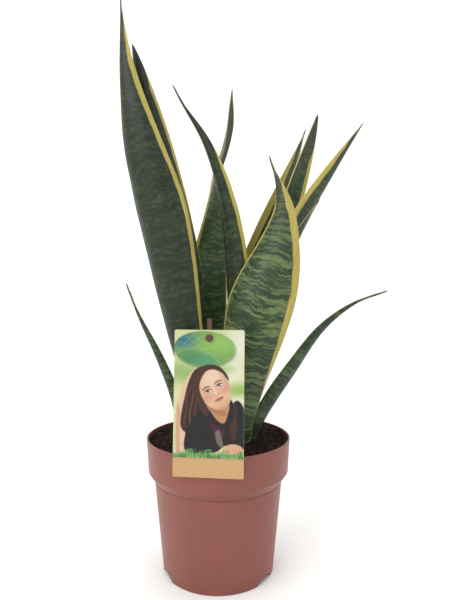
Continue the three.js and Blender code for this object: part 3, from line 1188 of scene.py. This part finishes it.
class SNAKEPLANT_OT_leaves(bpy.types.Operator):
    """Make the leaves: channelled, pointed blades that rise from the soil"""

    bl_idname = "snake_plant.leaves"
    bl_label = "Leaves"

    def execute(self, context):
        sizes = context.scene.snake_plant_leaves
        skin = snake_plant_leaf(sizes)
        for number, (node, leaf) in enumerate(LEAVES.items()):
            finish_piece("blade_" + node, leaf_mesh(leaf, sizes, 3.0 + 5.3 * number), node, [skin])
        return {"FINISHED"}


# Label ------------------------------------------------------------------------------------------------

CARD_WIDTH, CARD_HEIGHT, CARD_THICKNESS = 52.0, 107.0, 0.8
INK_LIGHTNESS = 0.68
CARD_BELOW_RIM, BUTTON_HEIGHT = 13.5, 87.5
LABEL_TURN = math.radians(-6.4)
STAKE_LEAN = math.radians(2)
STAKE_WIDTH, STAKE_THICKNESS, STAKE_IN_SOIL, STAKE_OVER_BUTTON = 3.6, 2.0, 38.0, 14.0


def label_frames():
    """Where the card stands on the rim and the stake in the soil, and the stake's length, in millimetres."""
    foot_height = SOIL_LEVEL - STAKE_IN_SOIL
    neck_height, neck = POT_HEIGHT - 27.0 - SHOULDER_HEIGHT, RIM_RADIUS - BAND_DRAFT - SHOULDER_STEP
    foot_radius = neck - BODY_TAPER + BODY_TAPER * foot_height / neck_height
    face_at_foot = foot_radius - 1.4 - 4
    above = CARD_HEIGHT - CARD_BELOW_RIM
    face_at_top = face_at_foot + math.tan(STAKE_LEAN) * (POT_HEIGHT + above - foot_height)
    lean = math.asin((RIM_RADIUS - face_at_top) / above)
    turn = Matrix.Rotation(LABEL_TURN, 4, "Z")
    card = turn @ Matrix.Translation((0, -(RIM_RADIUS + FIT), POT_HEIGHT)) @ Matrix.Rotation(-lean, 4, "X")
    stake = turn @ Matrix.Translation((0, -face_at_foot, foot_height)) @ Matrix.Rotation(STAKE_LEAN, 4, "X")
    return card, stake, POT_HEIGHT + BUTTON_HEIGHT + STAKE_OVER_BUTTON - foot_height


def smooth(low, high, value):
    """0 below low, 1 above high and smooth between, for arrays."""
    t = np.clip((value - low) / (high - low), 0, 1)
    return t * t * (3 - 2 * t)


def printed_picture(x, y):
    """Linear colours of the card's print at x from its left edge and y from its top, in millimetres."""
    color = np.empty((len(x), 3))
    color[:] = linear("d9e0a6")[:3]

    def paint(mask, code):
        share = np.clip(mask, 0, 1)[:, None]
        color[:] = color * (1 - share) + np.array(linear(code)[:3]) * share

    def spot(cx, cy, rx, ry, turn=0.0, soft=0.25, u0=None, v0=None):
        c, s = math.cos(math.radians(turn)), math.sin(math.radians(turn))
        px, py = (x, y) if u0 is None else (u0, v0)
        u, v = (px - cx) * c + (py - cy) * s, -(px - cx) * s + (py - cy) * c
        return 1 - smooth(1 - soft, 1 + soft, np.hypot(u / rx, v / ry))

    def shape(corners, soft=0.35, px=None, py=None):
        """Inside of a smooth closed curve through the corners, with an edge this many millimetres soft."""
        px, py = (x, y) if px is None else (px, py)
        count = len(corners)
        curve = []
        for i in range(count):
            p0, p1, p2, p3 = (np.array(corners[(i + k) % count], dtype=float) for k in (-1, 0, 1, 2))
            for t in (0, 0.25, 0.5, 0.75):
                square = (2 * p0 - 5 * p1 + 4 * p2 - p3) * t**2
                cube = (3 * p1 - p0 - 3 * p2 + p3) * t**3
                curve.append(0.5 * (2 * p1 + (p2 - p0) * t + square + cube))
        inside = np.zeros(len(px), dtype=bool)
        near = np.full(len(px), 1e9)
        for a, b in zip(curve, curve[1:] + curve[:1]):
            dx, dy = b - a
            t = np.clip(((px - a[0]) * dx + (py - a[1]) * dy) / (dx * dx + dy * dy + 1e-9), 0, 1)
            near = np.minimum(near, np.hypot(px - a[0] - t * dx, py - a[1] - t * dy))
            crosses = (a[1] > py) != (b[1] > py)
            inside ^= crosses & (px < (b[0] - a[0]) * (py - a[1]) / (dy if abs(dy) > 1e-09 else 1e-09) + a[0])
        return smooth(-soft, soft, np.where(inside, near, -near))

    # Blurred garden
    for cx, cy, rx, ry, code, share in (
        (6, 34, 13, 9, "84b45c", 0.8),
        (3, 50, 9, 12, "f0e6ae", 0.85),
        (44, 33, 14, 8, "eef0cc", 0.9),
        (49, 44, 9, 5, "9cc55c", 0.9),
        (50, 52, 8, 4, "f3efd6", 0.8),
        (49, 12, 8, 14, "eef3dc", 0.9),
        (36, 29, 8, 3, "a9cc78", 0.7),
    ):
        paint(spot(cx, cy, rx, ry, 0, 0.8) * share, code)

    # A big oval leaf across the top, blue-green at its left and yellow-green at its right
    paint(spot(23.0, 14.6, 23.2, 13.6, 2, 0.07) * 0.6, "3c5c30")
    oval = spot(22.3, 13.7, 22.6, 12.7, 2, 0.03)
    paint(oval, "7fb054")
    paint(oval * spot(6, 7, 10, 7, 0, 0.8), "3d7c86")
    paint(oval * spot(18, 22, 14, 5, 0, 0.8) * 0.8, "4a9a78")
    paint(oval * spot(9, 20, 9, 5, 0, 0.8) * 0.6, "4e8a4a")
    paint(oval * spot(34, 10, 12, 7, 0, 0.8) * 0.7, "9ccc64")
    for i in range(7):
        slope = (i - 3) * 0.36
        vein = np.abs(y - 14 - slope * (x - 4 - 3.4 * i)) / math.hypot(1, slope)
        paint(oval * (1 - smooth(0.1, 0.7, vein)) * 0.16, "b5d88e")

    # A person who lies on the grass, head on one hand: raised arm, long hair, dress, hand
    paint(
        shape(
            [
                (2.2, 62), (4, 50), (9, 37), (15, 29), (18, 30), (12, 42), (9, 56), (9.6, 72),
                (8.6, 88), (2.6, 88),
            ],
            0.8,
        ),
        "edc9a8",
    )
    paint(shape([(2.2, 62), (3, 54), (5, 60), (4.4, 74), (5, 88), (2.4, 88)], 1.0) * 0.7, "d79a74")
    paint(
        shape(
            [
                (15, 30), (21, 26.6), (27, 26.6), (22, 33), (19, 46), (21, 58), (18, 70), (12, 76),
                (6, 72), (5.4, 64), (8, 50), (11, 38),
            ],
            0.5,
        ),
        "3a2018",
    )
    for i, code in enumerate(("6a3a26", "1f120e", "7a4a34", "2a1812", "5c3426")):
        lean = 1.8 * i
        bend = (
            9.0
            + lean
            + 4.5 * np.exp(-((y - 34) / 12) ** 2)
            - 0.05 * (y - 60)
            + 0.5 * np.sin(y * 0.35 + i)
        )
        paint(
            (1 - smooth(0.2, 0.9, np.abs(x - bend))) * smooth(33, 40, y) * (1 - smooth(66, 74, y)) * 0.75,
            code,
        )
    paint(
        shape(
            [
                (10, 89), (9, 76), (14, 66), (20, 58), (27, 57), (32, 66), (37, 68), (41, 60),
                (45, 52), (49, 52), (52.5, 60), (52.5, 85), (45, 84), (38, 84), (30, 89),
            ],
            0.4,
        ),
        "160c12",
    )
    paint(shape([(27, 66), (33, 70), (38, 69), (37, 78), (33, 77), (29, 72)], 1.2) * 0.8, "521a2c")
    paint(shape([(31, 75), (34, 73), (36, 79), (37, 85), (33, 83)], 0.6) * 0.65, "8d857e")
    paint(shape([(42, 56), (46, 55), (47, 70), (45, 80), (42, 74)], 1.0) * 0.6, "5a3222")
    # Neck
    paint(shape([(22, 52), (33, 50), (43, 51), (45, 62), (39, 71), (32, 70), (25, 63)], 0.5), "1a0f12")
    paint(
        shape([(25, 55), (33, 54), (41, 54), (40, 62), (37.5, 67.5), (33, 66), (28, 60)], 0.5),
        "cf9468",
    )
    paint(shape([(27, 56), (38, 59), (39, 62), (33, 62), (28, 59)], 1.4) * 0.5, "9c5f3e")
    # Head, turned with its top to the left; u runs across the face and v down it, in half heights of the face
    turn, half = math.radians(-29), 16.0
    v = ((x - 29.6) * -math.sin(turn) + (y - 42.6) * math.cos(turn)) / half
    u = ((x - 29.6) * math.cos(turn) + (y - 42.6) * math.sin(turn)) / half
    face = shape(
        [
            (0, -0.98), (0.46, -0.84), (0.72, -0.42), (0.74, 0.04), (0.66, 0.44), (0.42, 0.84),
            (0.16, 1.0), (-0.16, 1.0), (-0.42, 0.84), (-0.66, 0.44), (-0.74, 0.04), (-0.72, -0.42),
            (-0.46, -0.84),
        ],
        0.02,
        u,
        v,
    )
    paint(face, "ecc09c")

    def on_face(cu, cv, ru, rv, soft=0.2, turned=0.0):
        return face * spot(cu, cv, ru, rv, turned, soft, u, v)

    paint(on_face(0.2, -0.45, 0.5, 0.35, 0.8) * 0.7, "f9e0c8")
    paint(face * smooth(0.45, 0.78, np.abs(u + 0.02)) * 0.55, "c98e66")
    paint(face * smooth(0.62, 1.0, v) * 0.45, "c98e66")
    for side in (-1, 1):
        paint(on_face(0.4 * side, 0.26, 0.22, 0.18, 0.8) * 0.5, "e2917c")
        paint(on_face(0.3 * side, -0.03, 0.2, 0.11, 0.6) * 0.45, "c4906c")
        eye = on_face(0.3 * side, 0.0, 0.145, 0.062, 0.12)
        paint(eye, "f4eee6")
        paint(eye * on_face(0.3 * side, -0.005, 0.068, 0.068, 0.12), "5d4230")
        paint(eye * on_face(0.3 * side, -0.005, 0.032, 0.032, 0.2), "17100d")
        paint(on_face(0.3 * side + 0.022, -0.026, 0.014, 0.014, 0.4), "ffffff")
        lid = face * (1 - smooth(0.012, 0.034, np.abs(v + 0.066 - 0.9 * (u - 0.3 * side) ** 2 * 2.6)))
        paint(lid * (1 - smooth(0.14, 0.18, np.abs(u - 0.3 * side))), "3b2519")
        brow = face * (1 - smooth(0.018, 0.05, np.abs(v + 0.2 - 1.5 * (u - 0.31 * side) ** 2)))
        paint(brow * (1 - smooth(0.15, 0.21, np.abs(u - 0.31 * side))) * 0.85, "55382a")
        paint(on_face(0.055 * side, 0.325, 0.03, 0.016, 0.5) * 0.8, "9c6248")
        paint(on_face(0.1 * side, 0.3, 0.035, 0.05, 0.6) * 0.4, "c98e6c")
    paint(on_face(0.0, 0.12, 0.04, 0.2, 0.8) * 0.6, "f9e2cc")
    paint(on_face(0.0, 0.29, 0.07, 0.055, 0.7) * 0.5, "f7d8c0")
    paint(on_face(0.0, 0.365, 0.12, 0.022, 0.8) * 0.4, "c08662")
    paint(
        (
            face
            * shape(
                [
                    (-0.24, 0.545), (-0.1, 0.495), (-0.05, 0.485), (0, 0.497), (0.05, 0.485),
                    (0.1, 0.495), (0.24, 0.545), (0.1, 0.555), (-0.1, 0.555),
                ],
                0.012,
                u,
                v,
            )
        ),
        "c2655f",
    )
    paint(
        (
            face
            * shape(
                [
                    (-0.22, 0.548), (-0.1, 0.556), (0.1, 0.556), (0.22, 0.548), (0.12, 0.625),
                    (-0.12, 0.625),
                ],
                0.014,
                u,
                v,
            )
        ),
        "d27a72",
    )
    paint(
        face
        * (1 - smooth(0.006, 0.02, np.abs(v - 0.552 + 0.25 * u**2)))
        * (1 - smooth(0.22, 0.25, np.abs(u))),
        "7e3836",
    )
    paint(on_face(0.0, 0.6, 0.08, 0.018, 0.7) * 0.5, "eba79c")
    paint(on_face(0.0, 0.68, 0.12, 0.03, 0.8) * 0.4, "c48c68")
    # Hair that frames the face, combed back from a side parting
    hair = shape(
        [
            (-0.02, -1.1), (0.4, -1.02), (0.72, -0.72), (0.84, -0.28), (0.8, 0.02), (0.74, -0.1),
            (0.68, -0.42), (0.42, -0.74), (0.12, -0.84), (-0.2, -0.72), (-0.52, -0.42), (-0.66, 0.0),
            (-0.66, 0.46), (-0.72, 0.9), (-0.95, 0.9), (-0.98, 0.2), (-0.9, -0.4), (-0.62, -0.88),
        ],
        0.025,
        u,
        v,
    )
    paint(hair, "3a2018")
    strand = 0.5 + 0.5 * np.sin(np.hypot(u - 0.1, v + 0.1) * 95 + 3 * u)
    paint(hair * strand * 0.35, "6f4530")
    paint(
        shape(
            [(37.5, 88), (37, 85.5), (41, 83), (46, 82.6), (50.5, 84.5), (51.5, 88.5), (45, 90.5)],
            0.4,
        ),
        "e6b48e",
    )
    for i in range(4):
        knuckle = np.abs(x - 40.5 - 2.7 * i - 0.25 * (y - 84))
        paint(
            (1 - smooth(0.1, 0.4, knuckle)) * smooth(84.5, 86, y) * (1 - smooth(88.5, 90, y)) * 0.6,
            "b87f5a",
        )

    # Grass in front of the person, and a plain band of kraft brown under it
    for i in range(120):
        foot, lean = (i * 37 % 120) * 0.437, ((i * 53) % 17 - 8) * 0.035
        tall = 4.2 + (i * 29 % 13) * 0.3
        rise = np.clip((94 - y) / tall, 0, 1)
        blade = np.abs(x - foot - lean * (94 - y)) - 0.42 * (1 - rise)
        paint(
            (1 - smooth(-0.05, 0.3, blade)) * (y > 94 - tall),
            ("3f8a4a", "6fb060", "2e6a3c", "97c56e")[i % 4],
        )
    paint(smooth(92.6, 93.4, y), "dcb07a")
    paint(smooth(93, 93.6, y) * (1 - smooth(93.6, 94.4, y)) * 0.4, "b98c58")
    return color * INK_LIGHTNESS


def coated_card():
    """Coated card, offset printed: the print under a soft gloss, read from the mesh's colour attribute."""
    material, tree, shader = new_material("card_coated_offset_printed", 0.45, 1.45)
    ink = add(tree, ATTRIBUTE, {"attribute_name": "print"}, output="Color")
    tree.links.new(ink, shader.inputs["Base Color"])
    return material


def plain_card():
    """Coated card, uncoated side and cut edge: white with a faint tooth."""
    material, tree, shader = new_material("card_white_uncoated", 0.7, 1.5)
    place = add(tree, COORDINATES, output="Object")
    tooth = add(tree, NOISE, None, {"Vector": place, "Scale": 900.0, "Detail": 3.0})
    shade = add(tree, RAMP, None, {"Fac": tooth}, [(0.3, linear("dcd6c6")), (0.7, linear("efeadd"))])
    tree.links.new(shade, shader.inputs["Base Color"])
    return material


class SNAKEPLANT_OT_card(bpy.types.Operator):
    """Make the label card: a printed card with rounded corners, unbroken under the stake's button"""

    bl_idname = "snake_plant.card"
    bl_label = "Label card"

    def execute(self, context):
        grid = context.scene.snake_plant_label.grid
        card_at, _, _ = label_frames()
        bm = bmesh.new()
        bmesh.ops.create_grid(
            bm,
            x_segments=round(CARD_WIDTH / grid),
            y_segments=round(CARD_HEIGHT / grid),
            size=0.5,
        )
        middle = Vector((CARD_WIDTH / 2, 6.0))
        for vert in bm.verts:
            x, y = (vert.co.x + 0.5) * CARD_WIDTH, (0.5 - vert.co.y) * CARD_HEIGHT
            near = min(y, CARD_HEIGHT - y)
            inset = 1 - math.sqrt(max(0.0, 1 - (1 - near) ** 2)) if near < 1 else 0.0
            x = inset + x * (CARD_WIDTH - 2 * inset) / CARD_WIDTH
            out = Vector((x, y)) - middle
            if out.length < 4.0:
                if out.length > 1e-4:
                    out = out.normalized() * (1.9 + (4.0 - 1.9) * out.length / 4.0)
                x, y = middle + out
            vert.co = (x, y, 0)
        ink = bm.verts.layers.float_color.new("print")
        bm.verts.ensure_lookup_table()
        places = np.array([vert.co[:2] for vert in bm.verts])
        colors = printed_picture(places[:, 0], places[:, 1])
        for vert, color in zip(bm.verts, colors):
            vert[ink] = (*color, 1.0)
            vert.co = (
                vert.co.x - CARD_WIDTH / 2, -CARD_THICKNESS, CARD_HEIGHT - CARD_BELOW_RIM - vert.co.y,
            )
        rim = [edge for edge in bm.edges if edge.is_boundary]
        back = bmesh.ops.extrude_edge_only(bm, edges=rim)["geom"]
        sides = [part for part in back if isinstance(part, bmesh.types.BMFace)]
        verts = [part for part in back if isinstance(part, bmesh.types.BMVert)]
        bmesh.ops.translate(bm, vec=(0, CARD_THICKNESS, 0), verts=verts)
        far = [edge for edge in bm.edges if edge.is_boundary]
        filled = bmesh.ops.triangle_fill(bm, edges=far, use_beauty=True)["geom"]
        for face in sides + [part for part in filled if isinstance(part, bmesh.types.BMFace)]:
            face.material_index = 1
        bmesh.ops.recalc_face_normals(bm, faces=bm.faces)
        bmesh.ops.transform(bm, matrix=Matrix.Scale(MM, 4) @ card_at, verts=bm.verts)
        finish_piece("picture_card", bm, "label_card", [coated_card(), plain_card()], 40)
        return {"FINISHED"}


def stake_plastic(color):
    """Polypropylene, injection moulded, reddish brown: satin with a faint flow pattern along the stake."""
    material, tree, shader = new_material("polypropylene_moulded_red_brown", 0.4, 1.49)
    place = add(tree, COORDINATES, output="Object")
    add(tree, "ShaderNodeMapping", None, {"Vector": place, "Scale": (600.0, 600.0, 60.0)})
    flow = add(tree, NOISE, None, {"Vector": tree.nodes[-1].outputs[0], "Scale": 1.0, "Detail": 3.0})
    dark = tuple(c * 0.8 for c in color[:3]) + (1,)
    shade = add(tree, RAMP, None, {"Fac": flow}, [(0.35, dark), (0.65, tuple(color))])
    tree.links.new(shade, shader.inputs["Base Color"])
    bump = add(tree, BUMP, None, {"Strength": 0.15, "Distance": 0.0002, "Height": flow})
    tree.links.new(bump, shader.inputs["Normal"])
    return material


class SNAKEPLANT_OT_stake(bpy.types.Operator):
    """Make the label stake: a flat moulded strip with a point in the soil and a button on the card"""

    bl_idname = "snake_plant.stake"
    bl_label = "Label stake"

    def execute(self, context):
        card_at, stake_at, length = label_frames()
        strip = bmesh.new()
        bmesh.ops.create_cube(strip, size=1.0)
        bmesh.ops.scale(strip, vec=(STAKE_WIDTH, STAKE_THICKNESS, length), verts=strip.verts)
        bmesh.ops.translate(strip, vec=(0, STAKE_THICKNESS / 2, length / 2), verts=strip.verts)
        bmesh.ops.bisect_plane(
            strip,
            geom=strip.verts[:] + strip.edges[:] + strip.faces[:],
            plane_co=(0, 0, 8),
            plane_no=(0, 0, 1),
        )
        for vert in strip.verts:
            if vert.co.z < 1:
                vert.co.x *= 0.12
        long_edges = [
            e
            for e in strip.edges
            if abs((e.verts[0].co - e.verts[1].co).normalized().z) > 0.6
            or min(v.co.z for v in e.verts) > length - 1
        ]
        bmesh.ops.bevel(
            strip,
            geom=long_edges,
            offset=0.4,
            segments=3,
            profile=0.5,
            affect="EDGES",
            material=-1,
        )
        bmesh.ops.transform(strip, matrix=stake_at, verts=strip.verts)
        parts = []
        for radius, back, front, soft in ((1.6, 1.0, -1.7, 0.0), (2.8, -1.1, -2.3, 0.55)):
            disc = bmesh.new()
            bmesh.ops.create_cone(
                disc,
                cap_ends=True,
                segments=48,
                radius1=radius,
                radius2=radius,
                depth=back - front,
            )
            if soft:
                crown = [e for e in disc.edges if all(v.co.z > 0 for v in e.verts)]
                bmesh.ops.bevel(
                    disc,
                    geom=crown,
                    offset=soft,
                    segments=5,
                    profile=0.5,
                    affect="EDGES",
                    material=-1,
                )
            bmesh.ops.rotate(
                disc,
                cent=(0, 0, 0),
                matrix=Matrix.Rotation(math.pi / 2, 3, "X"),
                verts=disc.verts,
            )
            bmesh.ops.translate(disc, vec=(0, (back + front) / 2, BUTTON_HEIGHT), verts=disc.verts)
            bmesh.ops.transform(disc, matrix=card_at, verts=disc.verts)
            bmesh.ops.recalc_face_normals(disc, faces=disc.faces)
            parts.append(disc)
        bmesh.ops.recalc_face_normals(strip, faces=strip.faces)
        stake = cut(strip, parts, "UNION")
        bmesh.ops.scale(stake, vec=(MM, MM, MM), verts=stake.verts)
        plastic = stake_plastic(context.scene.snake_plant_label.plastic)
        finish_piece("moulded_stake", stake, "label_stake", [plastic], 35)
        return {"FINISHED"}


# Stage ------------------------------------------------------------------------------------------------


class SNAKEPLANT_OT_stage(bpy.types.Operator):
    """Make the floor with its curved backdrop, the soft lights and the camera"""

    bl_idname = "snake_plant.stage"
    bl_label = "Stage"

    def execute(self, context):
        sizes = context.scene.snake_plant_stage
        bm = bmesh.new()
        sweep = [(0, -2.5, 0), (0, 0.9, 0)]
        sweep += [
            (0, 0.9 + 0.6 * math.sin(a), 0.6 - 0.6 * math.cos(a))
            for a in (i * math.pi / 24 for i in range(1, 13))
        ]
        sweep += [(0, 1.5, 3.0)]
        corners = [bm.verts.new((-3.0, y, z)) for _, y, z in sweep]
        edges = [bm.edges.new(pair) for pair in zip(corners, corners[1:])]
        side = bmesh.ops.extrude_edge_only(bm, edges=edges)["geom"]
        bmesh.ops.translate(
            bm,
            vec=(6, 0, 0),
            verts=[part for part in side if isinstance(part, bmesh.types.BMVert)],
        )
        bmesh.ops.recalc_face_normals(bm, faces=bm.faces)
        mesh = bpy.data.meshes.new("floor")
        bm.to_mesh(mesh)
        bm.free()
        mesh.shade_smooth()
        floor = bpy.data.objects.new("floor", mesh)
        bpy.context.scene.collection.objects.link(floor)
        paper, _, shader = new_material("backdrop_paper_matt", 0.9)
        shader.inputs["Base Color"].default_value = tuple(sizes.floor)
        mesh.materials.append(paper)

        world = bpy.data.worlds.new("studio")
        world.use_nodes = True
        world.node_tree.nodes["Background"].inputs["Color"].default_value = (1, 1, 1, 1)
        world.node_tree.nodes["Background"].inputs["Strength"].default_value = 0.8
        context.scene.world = world
        for name, at, size, power in (
            ("key", (-1.5, -1.4, 1.7), 2.2, 36.0),
            ("fill", (1.6, -1.2, 0.9), 1.4, 4.0),
            ("top", (0.1, 0.2, 2.0), 1.6, 14.0),
        ):
            light = bpy.data.lights.new(name, "AREA")
            light.size = size
            light.energy = power
            lamp = bpy.data.objects.new(name, light)
            lamp.location = at
            lamp.rotation_euler = (Vector((0, 0, 0.2)) - Vector(at)).to_track_quat("-Z", "Y").to_euler()
            context.scene.collection.objects.link(lamp)

        lens = bpy.data.cameras.new("camera")
        lens.lens = sizes.lens
        lens.sensor_width = 36.0
        lens.clip_start = 0.01
        camera = bpy.data.objects.new("camera", lens)
        camera.location = (0.0056, -0.421, 0.233)
        camera.rotation_euler = (math.radians(88.8), 0, 0)
        context.scene.collection.objects.link(camera)
        context.scene.camera = camera
        context.scene.view_settings.view_transform = "Standard"
        return {"FINISHED"}


# Add-on -----------------------------------------------------------------------------------------------


class SNAKEPLANT_PT_panel(bpy.types.Panel):
    """Sidebar panel that lists the pieces and their sizes"""

    bl_idname = "SNAKEPLANT_PT_panel"
    bl_label = "Potted snake plant"
    bl_space_type = "VIEW_3D"
    bl_region_type = "UI"
    bl_category = "Snake plant"

    def draw(self, context):
        groups = (
            ("snake_plant_pot", ("wall", "rim_depth", "color"), ("snake_plant.pot",)),
            ("snake_plant_soil", ("heap", "crumbs", "color"), ("snake_plant.soil",)),
            (
                "snake_plant_leaves", ("thickness", "rings", "columns", "green", "band", "margin"),
                ("snake_plant.leaves",),
            ),
            ("snake_plant_label", ("grid", "plastic"), ("snake_plant.card", "snake_plant.stake")),
            ("snake_plant_stage", ("lens", "floor"), ("snake_plant.stage",)),
        )
        for group, names, operators in groups:
            box = self.layout.box()
            for name in names:
                box.prop(getattr(context.scene, group), name)
            for operator in operators:
                box.operator(operator)


GROUPS = {
    "snake_plant_pot": PotSizes,
    "snake_plant_soil": SoilSizes,
    "snake_plant_leaves": LeafSizes,
    "snake_plant_label": LabelSizes,
    "snake_plant_stage": StageSizes,
}
OPERATORS = (
    SNAKEPLANT_OT_pot,
    SNAKEPLANT_OT_soil,
    SNAKEPLANT_OT_leaves,
    SNAKEPLANT_OT_card,
    SNAKEPLANT_OT_stake,
    SNAKEPLANT_OT_stage,
)


def register():
    for name, group in GROUPS.items():
        bpy.utils.register_class(group)
        setattr(bpy.types.Scene, name, PointerProperty(type=group))
    for operator in (*OPERATORS, SNAKEPLANT_PT_panel):
        bpy.utils.register_class(operator)


def unregister():
    for operator in reversed((*OPERATORS, SNAKEPLANT_PT_panel)):
        bpy.utils.unregister_class(operator)
    for name, group in GROUPS.items():
        delattr(bpy.types.Scene, name)
        bpy.utils.unregister_class(group)


def main():
    register()
    bpy.ops.snake_plant.stage()
    bpy.ops.snake_plant.pot()
    bpy.ops.snake_plant.soil()
    bpy.ops.snake_plant.leaves()
    bpy.ops.snake_plant.card()
    bpy.ops.snake_plant.stake()


if __name__ == "__main__":
    main()
